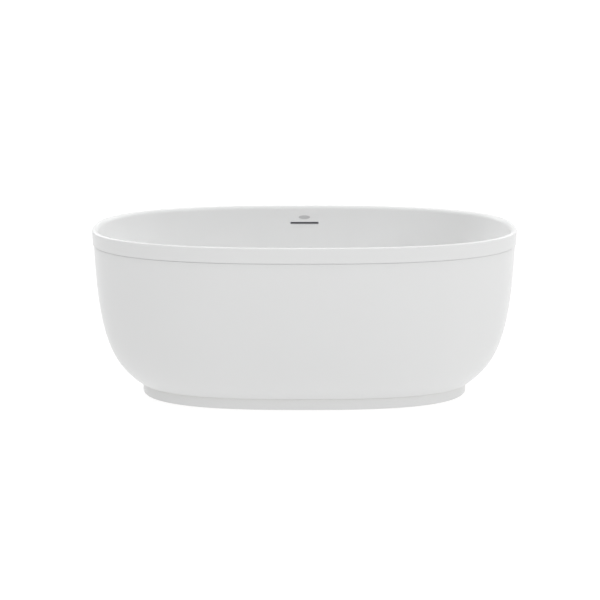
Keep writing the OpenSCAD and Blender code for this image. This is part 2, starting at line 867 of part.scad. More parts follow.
basin();
skirt();
plinth();
seam_sealant();
rim_adhesive();
base_board();
frame_rails();
cross_members();
frame_screws();
foot_weld_nuts();
foot_lock_nuts();
frame_brackets();
bracket_screws();
bracket_bolts();
bracket_nuts();
plinth_screws();
foot_pad_front_left();
foot_pad_front_right();
foot_pad_rear_left();
foot_pad_rear_right();
foot_stem_front_left();
foot_stem_front_right();
foot_stem_rear_left();
foot_stem_rear_right();
drain_flange();
flange_gasket();
drain_gasket();
drain_washer();
drain_lock_nut();
waste_tee();
tee_seal();
tailpiece();
tailpiece_washer();
tailpiece_nut();
click_cartridge();
click_spring();
click_plunger();
stopper_seal();
stopper_cap();
overflow_trim();
overflow_gasket();
overflow_housing();
overflow_hose();
hose_clamps();
maker_plate();
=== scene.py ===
"""Looks for the freestanding bathtub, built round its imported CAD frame. Metres, +Z up."""
import json
import math

import bmesh
import bpy
import numpy as np
from mathutils import Matrix, Vector


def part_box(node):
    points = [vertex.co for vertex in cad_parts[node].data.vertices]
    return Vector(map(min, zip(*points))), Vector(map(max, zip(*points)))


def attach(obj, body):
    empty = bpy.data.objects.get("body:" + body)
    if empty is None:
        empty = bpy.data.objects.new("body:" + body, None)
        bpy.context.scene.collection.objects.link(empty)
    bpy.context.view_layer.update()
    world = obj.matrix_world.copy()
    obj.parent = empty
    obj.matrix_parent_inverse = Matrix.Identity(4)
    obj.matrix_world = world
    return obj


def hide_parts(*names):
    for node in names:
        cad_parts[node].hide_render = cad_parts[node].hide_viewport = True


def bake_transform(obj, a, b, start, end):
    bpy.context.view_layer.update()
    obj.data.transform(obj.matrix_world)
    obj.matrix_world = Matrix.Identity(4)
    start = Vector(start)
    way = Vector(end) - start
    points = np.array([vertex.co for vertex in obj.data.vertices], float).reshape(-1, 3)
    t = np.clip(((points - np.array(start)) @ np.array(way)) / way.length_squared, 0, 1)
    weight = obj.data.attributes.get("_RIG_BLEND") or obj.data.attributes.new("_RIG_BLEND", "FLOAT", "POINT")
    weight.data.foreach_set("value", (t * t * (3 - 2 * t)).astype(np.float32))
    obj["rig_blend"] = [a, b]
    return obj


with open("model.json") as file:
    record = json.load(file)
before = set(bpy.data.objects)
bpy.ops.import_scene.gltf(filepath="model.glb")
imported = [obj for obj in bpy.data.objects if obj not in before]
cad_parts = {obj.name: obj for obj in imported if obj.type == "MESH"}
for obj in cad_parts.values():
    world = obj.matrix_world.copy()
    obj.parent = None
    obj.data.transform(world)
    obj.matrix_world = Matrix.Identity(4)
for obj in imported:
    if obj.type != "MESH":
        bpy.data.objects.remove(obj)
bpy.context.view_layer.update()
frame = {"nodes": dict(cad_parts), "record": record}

MM = 0.001
NODES = frame["nodes"]
BODY_OF = {node: body for body, nodes in frame["record"]["behaviour"]["bodies"].items()
           for node in nodes}
SLOT_OF = {part["node"]: part["material_slot"] for part in frame["record"]["subparts"]}


# ---------------------------------------------------------------- camera and stage

CAMERA_TARGET = Vector((0, 0, 0.324))
CAMERA_DISTANCE = 3.970
CAMERA_ELEVATION = math.radians(15.86)
CAMERA_LENS_MM = 65.5
FRAME_SHIFT = (-0.0074, 0.0008)

WORLD_STRENGTH = 0.55
# how strongly the floor glows beside the tub, and far away where the soft boxes don't reach
NEAR_GLOW, FAR_GLOW = 0.83, 0.93
GLOW_REACH = (1.2, 4.5)
LIGHT_AIM = (0, 0, 0.35)
# name: azimuth from the front, elevation, distance in metres, size, power in watts
SOFT_BOXES = {
    "top": (180, 85, 3.9, (6, 5), 110),
    "front": (0, 42, 5.4, (5, 2.5), 33),
    "front_right": (60, 20, 5.5, (2.2, 1.2), 36),
    "back_left": (-135, 33, 6, (2.6, 2), 112),
    "back_right": (135, 33, 6, (2.6, 2), 85),
}


def add_camera():
    data = bpy.data.cameras.new("camera")
    data.lens = CAMERA_LENS_MM
    data.sensor_width = 36
    data.shift_x, data.shift_y = FRAME_SHIFT
    camera = bpy.data.objects.new("camera", data)
    away = Vector((0, -math.cos(CAMERA_ELEVATION), math.sin(CAMERA_ELEVATION)))
    camera.location = CAMERA_TARGET + away * CAMERA_DISTANCE
    camera.rotation_euler = (-away).to_track_quat("-Z", "Y").to_euler()
    bpy.context.collection.objects.link(camera)
    bpy.context.scene.camera = camera


def around(azimuth, elevation, distance):
    """A place round the tub: degrees from the front towards the right, and above level."""
    turn, lift = math.radians(azimuth), math.radians(elevation)
    return (distance * math.sin(turn) * math.cos(lift), -distance * math.cos(turn) * math.cos(lift),
            LIGHT_AIM[2] + distance * math.sin(lift))


def add_light(name, place, aim, size, power):
    """A rectangular soft box at a place, pointing at a spot. size is (width, height)."""
    data = bpy.data.lights.new(name, "AREA")
    data.shape = "RECTANGLE"
    data.size, data.size_y = size
    data.energy = power
    light = bpy.data.objects.new(name, data)
    light.location = place
    light.rotation_euler = (Vector(aim) - Vector(place)).to_track_quat("-Z", "Y").to_euler()
    bpy.context.collection.objects.link(light)


def add_world(color, strength):
    world = bpy.data.worlds.new("studio")
    bpy.context.scene.world = world
    world.use_nodes = True
    background = world.node_tree.nodes["Background"]
    background.inputs["Color"].default_value = (*color, 1)
    background.inputs["Strength"].default_value = strength


def add_floor():
    """A plain pale floor that glows softly, so that it stays white up to the plinth."""
    mesh = bpy.data.meshes.new("floor")
    bm = bmesh.new()
    bmesh.ops.create_grid(bm, x_segments=24, y_segments=24, size=400)
    bm.to_mesh(mesh)
    bm.free()
    floor = bpy.data.objects.new("floor", mesh)
    bpy.context.collection.objects.link(floor)
    material = surface("studio_floor", (0.2, 0.2, 0.2), 0.6, color_amount=0.01, color_scale=3)
    tree = material.node_tree
    shader = tree.nodes["Principled BSDF"]
    shader.inputs["Emission Color"].default_value = (1, 1, 1, 1)
    away = tree.nodes.new("ShaderNodeVectorMath")
    away.operation = "LENGTH"
    tree.links.new(tree.nodes.new("ShaderNodeTexCoord").outputs["Object"], away.inputs[0])
    tree.links.new(map_range(tree, away.outputs["Value"], GLOW_REACH, (NEAR_GLOW, FAR_GLOW)),
                   shader.inputs["Emission Strength"])
    floor.data.materials.append(material)


# ---------------------------------------------------------------- materials

NOISE_RANGE = (0.3, 0.7)
NOISE_ROUGHNESS = 0.55


def noise_node(tree, coordinates, scale, detail, stretch):
    """The value of a noise texture, stretched along the axes by stretch."""
    mapping = tree.nodes.new("ShaderNodeMapping")
    mapping.inputs["Scale"].default_value = stretch
    tree.links.new(coordinates, mapping.inputs["Vector"])
    texture = tree.nodes.new("ShaderNodeTexNoise")
    texture.inputs["Scale"].default_value = scale
    texture.inputs["Detail"].default_value = detail
    texture.inputs["Roughness"].default_value = NOISE_ROUGHNESS
    tree.links.new(mapping.outputs["Vector"], texture.inputs["Vector"])
    return texture.outputs["Fac"]


def map_range(tree, value, from_range, to_range):
    """A value taken from one range to another."""
    node = tree.nodes.new("ShaderNodeMapRange")
    for socket, limit in zip(("From Min", "From Max", "To Min", "To Max"),
                             (*from_range, *to_range)):
        node.inputs[socket].default_value = limit
    tree.links.new(value, node.inputs["Value"])
    return node.outputs["Result"]


def blend_colors(tree, value, low, high):
    """From one colour to another over the range that a noise value covers."""
    ramp = tree.nodes.new("ShaderNodeValToRGB")
    for element, position, color in zip(ramp.color_ramp.elements, NOISE_RANGE, (low, high)):
        element.position = position
        element.color = (*color, 1)
    tree.links.new(value, ramp.inputs["Fac"])
    return ramp.outputs["Color"]


def scaled(color, factor):
    return tuple(min(1.0, channel * factor) for channel in color)


def surface(name, color, roughness, metallic=0.0, color_amount=0.05, color_scale=30,
            rough_amount=0.04, rough_scale=80, bump_height=0.00005, bump_scale=300,
            stretch=(1, 1, 1), specular=0.5, detail=3):
    """A procedural finish: colour, roughness and relief each vary with their own noise."""
    material = bpy.data.materials.new(f"{name}_finish")
    material.use_nodes = True
    tree = material.node_tree
    shader = tree.nodes["Principled BSDF"]
    shader.inputs["Metallic"].default_value = metallic
    shader.inputs["Specular IOR Level"].default_value = specular
    place = tree.nodes.new("ShaderNodeTexCoord").outputs["Object"]
    tone = noise_node(tree, place, color_scale, detail, stretch)
    tree.links.new(
        blend_colors(tree, tone, scaled(color, 1 - color_amount), scaled(color, 1 + color_amount)),
        shader.inputs["Base Color"])
    wear = noise_node(tree, place, rough_scale, detail, stretch)
    rough_range = (max(0.02, roughness - rough_amount), roughness + rough_amount)
    tree.links.new(map_range(tree, wear, NOISE_RANGE, rough_range), shader.inputs["Roughness"])
    relief = noise_node(tree, place, bump_scale, detail, stretch)
    bump = tree.nodes.new("ShaderNodeBump")
    bump.inputs["Strength"].default_value = 1
    bump.inputs["Distance"].default_value = bump_height
    tree.links.new(relief, bump.inputs["Height"])
    tree.links.new(bump.outputs["Normal"], shader.inputs["Normal"])
    return material


def plywood(name):
    """Pale veneer with long grain on its faces and stacked plies on its edges."""
    material = surface(name, (0.60, 0.44, 0.27), 0.62, color_amount=0.14, color_scale=14,
        stretch=(1, 9, 9), bump_height=0.0002, bump_scale=60, rough_amount=0.08, detail=6)
    tree = material.node_tree
    shader = tree.nodes["Principled BSDF"]
    face_color = shader.inputs["Base Color"].links[0].from_socket
    place = tree.nodes.new("ShaderNodeTexCoord").outputs["Object"]
    plies = tree.nodes.new("ShaderNodeTexWave")
    plies.bands_direction = "Z"
    plies.inputs["Scale"].default_value = 125
    plies.inputs["Distortion"].default_value = 0.4
    tree.links.new(place, plies.inputs["Vector"])
    edge_color = blend_colors(tree, plies.outputs["Fac"], (0.33, 0.20, 0.10), (0.62, 0.46, 0.28))
    split = tree.nodes.new("ShaderNodeSeparateXYZ")
    geometry = tree.nodes.new("ShaderNodeNewGeometry")
    tree.links.new(geometry.outputs["True Normal"], split.inputs["Vector"])
    flat = tree.nodes.new("ShaderNodeMath")
    flat.operation = "ABSOLUTE"
    tree.links.new(split.outputs["Z"], flat.inputs[0])
    mix = tree.nodes.new("ShaderNodeMix")
    mix.data_type = "RGBA"
    tree.links.new(flat.outputs["Value"], mix.inputs["Factor"])
    tree.links.new(edge_color, mix.inputs[6])
    tree.links.new(face_color, mix.inputs[7])
    tree.links.new(mix.outputs[2], shader.inputs["Base Color"])
    return material


def laminate(name):
    """Hand-laid chopped-strand glass fibre on the back of the mouldings."""
    material = surface(name, (0.62, 0.60, 0.52), 0.5, color_amount=0.12, color_scale=90,
        bump_height=0.0004, bump_scale=120, rough_amount=0.12, detail=6)
    tree = material.node_tree
    shader = tree.nodes["Principled BSDF"]
    place = tree.nodes.new("ShaderNodeTexCoord").outputs["Object"]
    strands = tree.nodes.new("ShaderNodeTexVoronoi")
    strands.feature = "DISTANCE_TO_EDGE"
    strands.inputs["Scale"].default_value = 70
    tree.links.new(place, strands.inputs["Vector"])
    bump = tree.nodes.new("ShaderNodeBump")
    bump.inputs["Distance"].default_value = 0.0006
    bump.inputs["Strength"].default_value = 0.6
    tree.links.new(strands.outputs["Distance"], bump.inputs["Height"])
    tree.links.new(shader.inputs["Normal"].links[0].from_socket, bump.inputs["Normal"])
    tree.links.new(bump.outputs["Normal"], shader.inputs["Normal"])
    return material


def make_materials():
    """One material for each slot of the record, and the laminate behind the acrylic."""
    return {
        "acrylic": surface("acrylic", (0.722, 0.725, 0.724), 0.36, color_amount=0.006,
            color_scale=2.5, rough_amount=0.03, rough_scale=6, bump_height=0.00005,
            bump_scale=7, specular=0.28, detail=2),
        "laminate": laminate("laminate"),
        "sealant": surface("sealant", (0.66, 0.665, 0.67), 0.45, bump_height=0.0001, bump_scale=90),
        "adhesive": surface("adhesive", (0.72, 0.69, 0.60), 0.6, bump_height=0.0006,
            bump_scale=70, color_amount=0.08),
        "timber": plywood("timber"),
        "frame_steel": surface("frame_steel", (0.055, 0.058, 0.062), 0.42, color_amount=0.12,
            bump_height=0.00012, bump_scale=900, rough_amount=0.06),
        "zinc_steel": surface("zinc_steel", (0.56, 0.58, 0.60), 0.34, metallic=1.0,
            color_amount=0.10, color_scale=60, rough_amount=0.09, rough_scale=140,
            bump_height=0.00003, bump_scale=700),
        "chrome": surface("chrome", (0.78, 0.79, 0.81), 0.07, metallic=1.0, color_amount=0.015,
            rough_amount=0.025, rough_scale=50, bump_height=0.000004, bump_scale=60),
        "brass": surface("brass", (0.66, 0.47, 0.19), 0.28, metallic=1.0, color_amount=0.08,
            stretch=(1, 1, 14), rough_amount=0.08, bump_height=0.00002, bump_scale=260),
        "rubber": surface("rubber", (0.022, 0.022, 0.024), 0.72, color_amount=0.2,
            bump_height=0.00008, bump_scale=700, rough_amount=0.08),
        "pipe_plastic": surface("pipe_plastic", (0.72, 0.72, 0.69), 0.38, color_amount=0.03,
            bump_height=0.00004, bump_scale=420),
        "hose_plastic": surface("hose_plastic", (0.62, 0.64, 0.65), 0.42, color_amount=0.04,
            bump_height=0.00004, bump_scale=380),
        "dark_plastic": surface("dark_plastic", (0.03, 0.03, 0.033), 0.55, color_amount=0.15,
            bump_height=0.00008, bump_scale=850),
        "plate_metal": surface("plate_metal", (0.52, 0.52, 0.525), 0.46, metallic=0.6,
            color_amount=0.05, stretch=(1, 30, 30), rough_amount=0.06, bump_height=0.00001,
            bump_scale=900),
    }


# ---------------------------------------------------------------- mesh helpers

SMOOTH_ANGLE = math.radians(32)
WELD_DISTANCE = 0.001 * MM


def loft(loops, looped=False, capped=False):
    """Quads between loops of points taken in order, as a new bmesh."""
    bm = bmesh.new()
    rows = [[bm.verts.new(point) for point in loop] for loop in loops]
    pairs = list(zip(rows, rows[1:])) + ([(rows[-1], rows[0])] if looped else [])
    for low, high in pairs:
        for i in range(len(low)):
            k = (i + 1) % len(low)
            bm.faces.new((low[i], low[k], high[k], high[i]))
    if capped:
        bm.faces.new(rows[0][::-1])
        bm.faces.new(rows[-1])
    return bm


def outward(bm):
    """Turns the faces of closed shapes outwards."""
    bmesh.ops.recalc_face_normals(bm, faces=bm.faces)
    return bm


def mark_sharp(bm, angle):
    """Smooth faces everywhere, with hard edges only where faces meet steeply."""
    bm.normal_update()
    for face in bm.faces:
        face.smooth = True
    for edge in bm.edges:
        edge.smooth = len(edge.link_faces) != 2 or edge.calc_face_angle(0) < angle


def add_piece(name, bm, node, angle=SMOOTH_ANGLE, rides=True):
    """A piece that stands for a CAD node and rides on its body, unless it is blended later."""
    mark_sharp(bm, angle)
    mesh = bpy.data.meshes.new(name)
    bm.to_mesh(mesh)
    bm.free()
    piece = bpy.data.objects.new(name, mesh)
    bpy.context.collection.objects.link(piece)
    piece.data.materials.append(MATERIALS[SLOT_OF[node]])
    if rides:
        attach(piece, BODY_OF[node])
    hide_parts(node)
    return piece


def apply_modifiers(piece):
    """Bakes a piece's modifiers into its mesh."""
    graph = bpy.context.evaluated_depsgraph_get()
    mesh = bpy.data.meshes.new_from_object(piece.evaluated_get(graph))
    piece.modifiers.clear()
    piece.data = mesh


def merge(*parts):
    """Joins several bmeshes into the first."""
    whole = bmesh.new()
    for part in parts:
        mesh = bpy.data.meshes.new("part")
        part.to_mesh(mesh)
        part.free()
        whole.from_mesh(mesh)
        bpy.data.meshes.remove(mesh)
    return whole


def cut(piece, cutter_bm):
    """Takes a closed shape out of a piece."""
    mesh = bpy.data.meshes.new("cutter")
    cutter_bm.to_mesh(mesh)
    cutter_bm.free()
    cutter = bpy.data.objects.new("cutter", mesh)
    bpy.context.collection.objects.link(cutter)
    modifier = piece.modifiers.new("cut", "BOOLEAN")
    modifier.operation = "DIFFERENCE"
    modifier.solver = "EXACT"
    modifier.object = cutter
    apply_modifiers(piece)
    bpy.data.objects.remove(cutter)


def cad_mesh(node):
    """A CAD node's own mesh, welded into closed solids."""
    bm = bmesh.new()
    bm.from_mesh(NODES[node].data)
    bmesh.ops.remove_doubles(bm, verts=bm.verts, dist=WELD_DISTANCE)
    return bm


def soften(node, width):
    """A CAD node's own shape with its hard edges rounded off."""
    bm = cad_mesh(node)
    bmesh.ops.dissolve_limit(bm, angle_limit=math.radians(0.5), verts=bm.verts, edges=bm.edges)
    piece = add_piece(f"{node}_finished", bm, node)
    modifier = piece.modifiers.new("round", "BEVEL")
    modifier.width = width
    modifier.segments = 2
    modifier.limit_method = "ANGLE"
    modifier.angle_limit = SMOOTH_ANGLE
    modifier.harden_normals = False
    weighted = piece.modifiers.new("weight", "WEIGHTED_NORMAL")
    weighted.keep_sharp = True
    apply_modifiers(piece)
    for polygon in piece.data.polygons:
        polygon.use_smooth = True


def turn_angles(count):
    """Evenly spaced angles round a full turn."""
    return [math.tau * i / count for i in range(count)]


def circle(radius, z, count, center=(0, 0)):
    return [(center[0] + radius * math.cos(angle), center[1] + radius * math.sin(angle), z)
            for angle in turn_angles(count)]


def lathe(profile, count):
    """Turns a closed profile of (radius, height) about the Z axis."""
    return loft([circle(radius, z, count) for radius, z in profile], looped=True)


def rounded(profile, radius, steps=4):
    """Rounds every corner of a closed profile with a small curve."""
    out = []
    count = len(profile)
    for i, corner in enumerate(profile):
        corner = Vector(corner)
        before = Vector(profile[i - 1]) - corner
        after = Vector(profile[(i + 1) % count]) - corner
        reach = min(radius, before.length * 0.45, after.length * 0.45)
        start = corner + before.normalized() * reach
        end = corner + after.normalized() * reach
        for step in range(steps + 1):
            t = step / steps
            out.append(tuple(start * (1 - t) ** 2 + corner * 2 * t * (1 - t) + end * t * t))
    return out


def lerp(a, b, f):
    return a + (b - a) * f


def spread(first, last, count):
    """Evenly spaced values from first to last, in count steps."""
    return [lerp(first, last, i / count) for i in range(count + 1)]


def bezier(p, u):
    return (p[0] * (1 - u) ** 3 + 3 * p[1] * u * (1 - u) ** 2
            + 3 * p[2] * u * u * (1 - u) + p[3] * u ** 3)


def bezier_slope(p, u):
    return (3 * (p[1] - p[0]) * (1 - u) ** 2 + 6 * (p[2] - p[1]) * u * (1 - u)
            + 3 * (p[3] - p[2]) * u * u)


# ---------------------------------------------------------------- shells

OUTLINE_COUNT = 256
# a quarter outline is measured at this many points before it is shared out evenly
OUTLINE_SAMPLES = 3001
RIM_POWER = 2.53
FLOOR_POWER = 2.6
SKIRT_POWER = 2.75
PLINTH_POWER = 2.75

UNDERSIDE_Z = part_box("basin")[0][2]
HALF_LENGTH, HALF_WIDTH, RIM_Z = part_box("basin")[1]
PLINTH_BOTTOM_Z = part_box("plinth")[0][2]
PLINTH_HALF_LENGTH, PLINTH_HALF_WIDTH, PLINTH_TOP_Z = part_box("plinth")[1]
NECK_TOP_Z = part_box("skirt")[1][2]

BAND_HEIGHT = 51 * MM
BAND_WALL = 4 * MM
RIM_WIDTH = 21 * MM
RIM_OUTER_RADIUS = 5 * MM
# the roll down into the basin: its inset at the rim, and its place on the wall's curve
ROLL_START = 8.5 * MM
ROLL_END = 0.0155
BASIN_WALL = 6 * MM
FLOOR_HALF_LENGTH = 470 * MM
FLOOR_HALF_WIDTH = 185 * MM
FLOOR_EDGE_Z = 154 * MM
FLOOR_DRAIN_Z = 149 * MM
FLOOR_MIDDLE_R = 60 * MM
DRAIN_HOLE_R = 26 * MM
RECESS_R = 37 * MM
RECESS_DEPTH = 2.5 * MM
BOSS_R = 44 * MM
SKIRT_WALL = 5 * MM
SKIRT_END_INSET = 141 * MM
SIDE_SHARE = 0.72
NECK_INSET = 5.5 * MM
GROOVE_HEIGHT = 2.5 * MM
FLANGE_WIDTH = 40 * MM
PLINTH_WALL = 5 * MM
PLINTH_EDGE_R = 1.5 * MM
# a ring this far from a rounding keeps the smooth shading inside it
SUPPORT = 0.8 * MM
WALL_STEPS = 40
SKIRT_STEPS = 56
SKIRT_BACK_STEPS = 24

BAND_BOTTOM_Z = RIM_Z - BAND_HEIGHT
WALL_TOP_Z = RIM_Z - 9 * MM
SHOULDER_Z = BAND_BOTTOM_Z - GROOVE_HEIGHT
WALL_REACH = (0, 0.13, 0.62, 1)
WALL_HEIGHTS = (WALL_TOP_Z, 420 * MM, FLOOR_EDGE_Z, FLOOR_EDGE_Z)
WALL_END_RUN = HALF_LENGTH - RIM_WIDTH - FLOOR_HALF_LENGTH
WALL_SIDE_RUN = HALF_WIDTH - RIM_WIDTH - FLOOR_HALF_WIDTH
SKIRT_INSETS = (0, 0, 50 * MM, SKIRT_END_INSET)
SKIRT_HEIGHTS = (SHOULDER_Z - MM, 195 * MM, PLINTH_TOP_Z + 72 * MM, PLINTH_TOP_Z)


def outline(half_length, half_width, z, power):
    """Points evenly spaced round a superellipse, anticlockwise from +X."""
    angle = np.linspace(0, math.pi / 2, OUTLINE_SAMPLES)
    x = half_length * np.cos(angle) ** (2 / power)
    y = half_width * np.sin(angle) ** (2 / power)
    length = np.concatenate([[0], np.cumsum(np.hypot(np.diff(x), np.diff(y)))])
    at = np.linspace(0, length[-1], OUTLINE_COUNT // 4 + 1)
    qx, qy = np.interp(at, length, x), np.interp(at, length, y)
    quarter = list(zip(qx, qy))
    second = [(-px, py) for px, py in quarter[::-1]]
    half = quarter[:-1] + second[:-1]
    whole = half + [(-px, -py) for px, py in half]
    return [(px, py, z) for px, py in whole]


def rim_ring(inset, z):
    return outline(HALF_LENGTH - inset, HALF_WIDTH - inset, z, RIM_POWER)


def wall_size(u, thickness):
    """Half length, half width, height and power of the basin wall, moved outwards."""
    reach = bezier(WALL_REACH, u)
    run = bezier_slope(WALL_REACH, u) * (WALL_END_RUN + WALL_SIDE_RUN) / 2
    rise = bezier_slope(WALL_HEIGHTS, u)
    size = math.hypot(run, rise)
    out = -rise / size * thickness
    down = run / size * thickness
    return (HALF_LENGTH - RIM_WIDTH - reach * WALL_END_RUN + out,
            HALF_WIDTH - RIM_WIDTH - reach * WALL_SIDE_RUN + out,
            bezier(WALL_HEIGHTS, u) - down,
            lerp(RIM_POWER, FLOOR_POWER, reach))


def wall_ring(u, thickness):
    return outline(*wall_size(u, thickness))


def skirt_ring(u, thickness):
    inset = bezier(SKIRT_INSETS, u)
    run = bezier_slope(SKIRT_INSETS, u)
    rise = bezier_slope(SKIRT_HEIGHTS, u)
    size = math.hypot(run, rise)
    inward = -rise / size * thickness
    up = run / size * thickness
    return outline(HALF_LENGTH - BAND_WALL - inset - inward,
        HALF_WIDTH - BAND_WALL - inset * SIDE_SHARE - inward,
        bezier(SKIRT_HEIGHTS, u) + up,
        lerp(RIM_POWER, SKIRT_POWER, inset / SKIRT_END_INSET))


def plinth_ring(inset, z):
    return outline(PLINTH_HALF_LENGTH - inset, PLINTH_HALF_WIDTH - inset, z, PLINTH_POWER)


def edge_arc(radius, steps):
    """(inset, drop) along a quarter round, from the side to the top."""
    for angle in spread(0, math.pi / 2, steps):
        yield radius * (1 - math.cos(angle)), radius * (1 - math.sin(angle))


def paint_back(piece, is_back):
    """Gives the faces that a test picks the laminate finish."""
    piece.data.materials.append(MATERIALS["laminate"])
    for polygon in piece.data.polygons:
        if is_back(polygon):
            polygon.material_index = 1


def inner_roll(steps):
    """Rings down the rim's inner edge: level at the rim, and nearly upright at the wall."""
    rim, wall = rim_ring(ROLL_START, RIM_Z), wall_ring(ROLL_END, 0)
    last = math.radians(83)
    rings = []
    for angle in spread(0, last, steps):
        across = math.sin(angle) / math.sin(last)
        down = (1 - math.cos(angle)) / (1 - math.cos(last))
        rings.append([(lerp(a[0], b[0], across), lerp(a[1], b[1], across), lerp(a[2], b[2], down))
                      for a, b in zip(rim, wall)])
    return rings


def basin_back():
    """The basin's rings from the drain hole under the floor, up behind the wall and the band."""
    under_rim_z = RIM_Z - BASIN_WALL
    loops = [circle(radius, UNDERSIDE_Z, OUTLINE_COUNT) for radius in (DRAIN_HOLE_R, BOSS_R)]
    loops += [outline(lerp(BOSS_R, FLOOR_HALF_LENGTH - 15 * MM, f),
                      lerp(BOSS_R, FLOOR_HALF_WIDTH - 13 * MM, f),
                      UNDERSIDE_Z, lerp(2, FLOOR_POWER, f)) for f in (0.3, 0.65, 1)]
    loops += [wall_ring(u, BASIN_WALL) for u in spread(1, 0, WALL_STEPS)]
    loops += [rim_ring(RIM_WIDTH - BASIN_WALL, under_rim_z)]
    loops += [rim_ring(BAND_WALL, z) for z in spread(under_rim_z, BAND_BOTTOM_Z + SUPPORT, 4)]
    return loops


def basin_front():
    """The basin's rings from the band's lower edge over the rim and down to the drain hole."""
    loops = [rim_ring(inset, BAND_BOTTOM_Z + height) for inset, height in (
        (BAND_WALL - SUPPORT, 0), (1.2 * MM, 0), (0.35 * MM, 0.35 * MM), (0, 1.2 * MM))]
    loops += [rim_ring(0, z) for z in spread(BAND_BOTTOM_Z + 1.8 * MM,
                                             RIM_Z - RIM_OUTER_RADIUS - SUPPORT, 5)]
    loops += [rim_ring(inset, RIM_Z - drop) for inset, drop in edge_arc(RIM_OUTER_RADIUS, 8)]
    loops += [rim_ring(inset, RIM_Z) for inset in (RIM_OUTER_RADIUS + SUPPORT,
                                                   ROLL_START - SUPPORT)]
    loops += inner_roll(14)
    loops += [wall_ring(u, 0) for u in [ROLL_END + 0.002] + spread(0, 1, WALL_STEPS)[1:]]
    loops += [outline(lerp(FLOOR_HALF_LENGTH, FLOOR_MIDDLE_R, f),
                      lerp(FLOOR_HALF_WIDTH, FLOOR_MIDDLE_R, f),
                      lerp(FLOOR_EDGE_Z, FLOOR_DRAIN_Z, f), lerp(FLOOR_POWER, 2, f))
              for f in spread(0, 1, 8)[1:]]
    loops += [circle(radius, FLOOR_DRAIN_Z - depth, OUTLINE_COUNT) for radius, depth in (
        (BOSS_R, 0), (RECESS_R + 1.2 * MM, 0), (RECESS_R, 0.6 * MM), (RECESS_R, RECESS_DEPTH),
        (DRAIN_HOLE_R, RECESS_DEPTH))]
    return loops


def build_basin():
    """The thin acrylic shell, with its laminated back and the hole for the overflow."""
    back, front = basin_back(), basin_front()
    piece = add_piece("basin_shell", loft(back + front, looped=True), "basin")
    back_faces = (len(back) - 1) * OUTLINE_COUNT
    paint_back(piece, lambda polygon: polygon.index < back_faces)
    cut(piece, stadium_loft([(SLOT_LENGTH + 4 * MM, SLOT_HEIGHT + 3 * MM, depth)
                             for depth in (-10 * MM, BASIN_WALL + 6 * MM)], capped=True))


def build_skirt():
    """The outer shell from the plinth up to the neck, and its laminated back down again."""
    front = [skirt_ring(u, 0) for u in [1, 0.996] + spread(1, 0, SKIRT_STEPS)[1:-1] + [0.001, 0]]
    front += [rim_ring(BAND_WALL + 0.4 * MM, SHOULDER_Z - 0.3 * MM),
              rim_ring(BAND_WALL + 1 * MM, SHOULDER_Z), rim_ring(NECK_INSET, SHOULDER_Z)]
    back = [rim_ring(NECK_INSET, z) for z in spread(SHOULDER_Z, NECK_TOP_Z, 3)[1:]]
    back += [rim_ring(BAND_WALL + SKIRT_WALL, z)
             for z in spread(NECK_TOP_Z, SHOULDER_Z - 2 * MM, 3)]
    back += [skirt_ring(u, SKIRT_WALL) for u in spread(0, 1, SKIRT_BACK_STEPS)[2:-2]]
    back += [plinth_ring(inset, z) for inset, z in (
        (FLANGE_WIDTH - 30 * MM, PLINTH_TOP_Z + SKIRT_WALL),
        (FLANGE_WIDTH, PLINTH_TOP_Z + SKIRT_WALL), (FLANGE_WIDTH, PLINTH_TOP_Z))]
    piece = add_piece("skirt_shell", loft(front + back, looped=True), "skirt")
    front_faces = (len(front) - 1) * OUTLINE_COUNT
    paint_back(piece, lambda polygon: polygon.index >= front_faces)


def build_plinth():
    """The base ring, with a flange on top that the skirt is screwed to."""
    under_z = PLINTH_TOP_Z - PLINTH_WALL
    front = [plinth_ring(0.6 * MM, PLINTH_BOTTOM_Z), plinth_ring(0, PLINTH_BOTTOM_Z + SUPPORT)]
    front += [plinth_ring(0, z) for z in spread(PLINTH_BOTTOM_Z + 2 * SUPPORT,
                                                PLINTH_TOP_Z - PLINTH_EDGE_R - SUPPORT, 3)]
    front += [plinth_ring(inset, PLINTH_TOP_Z - drop)
              for inset, drop in edge_arc(PLINTH_EDGE_R, 4)]
    back = [plinth_ring(inset, z) for inset, z in (
        (FLANGE_WIDTH, PLINTH_TOP_Z), (FLANGE_WIDTH, under_z), (PLINTH_WALL, under_z),
        (PLINTH_WALL, PLINTH_BOTTOM_Z))]
    piece = add_piece("plinth_ring", loft(front + back, looped=True), "plinth")
    front_faces = (len(front) - 1) * OUTLINE_COUNT
    paint_back(piece, lambda polygon: polygon.index >= front_faces)


def build_seam():
    """The sealant bead in the groove has a hollow face, as a finger leaves it."""
    low_z, high_z = (corner[2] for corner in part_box("seam_sealant"))
    outer, inner = NECK_INSET - 1.3 * MM, NECK_INSET - 0.1 * MM
    face = [(outer + 0.25 * MM * math.sin(math.pi * f), lerp(low_z, high_z, f))
            for f in spread(0, 1, 6)]
    loops = [rim_ring(inset, z) for inset, z in face + [(inner, high_z), (inner, low_z)]]
    add_piece("seam_bead", loft(loops, looped=True), "seam_sealant")


def build_adhesive():
    """The bead on top of the skirt's neck, with a slightly uneven inner face."""
    low_z, high_z = (corner[2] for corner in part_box("rim_adhesive"))
    inner = BAND_WALL + SKIRT_WALL
    loops = [rim_ring(inset, z) for inset, z in (
        (NECK_INSET, low_z), (NECK_INSET, high_z), (inner, high_z),
        (inner + 0.3 * MM, (low_z + high_z) / 2), (inner, low_z))]
    add_piece("rim_adhesive_bead", loft(loops, looped=True), "rim_adhesive")


# ---------------------------------------------------------------- overflow

SLOT_LENGTH = 108 * MM
SLOT_HEIGHT = 6 * MM
SLOT_PLACE = 0.1025
TRIM_LIP = 3 * MM
PLATE_SIZE = (44 * MM, 14 * MM)
PLATE_PLACE = SLOT_PLACE * 0.62
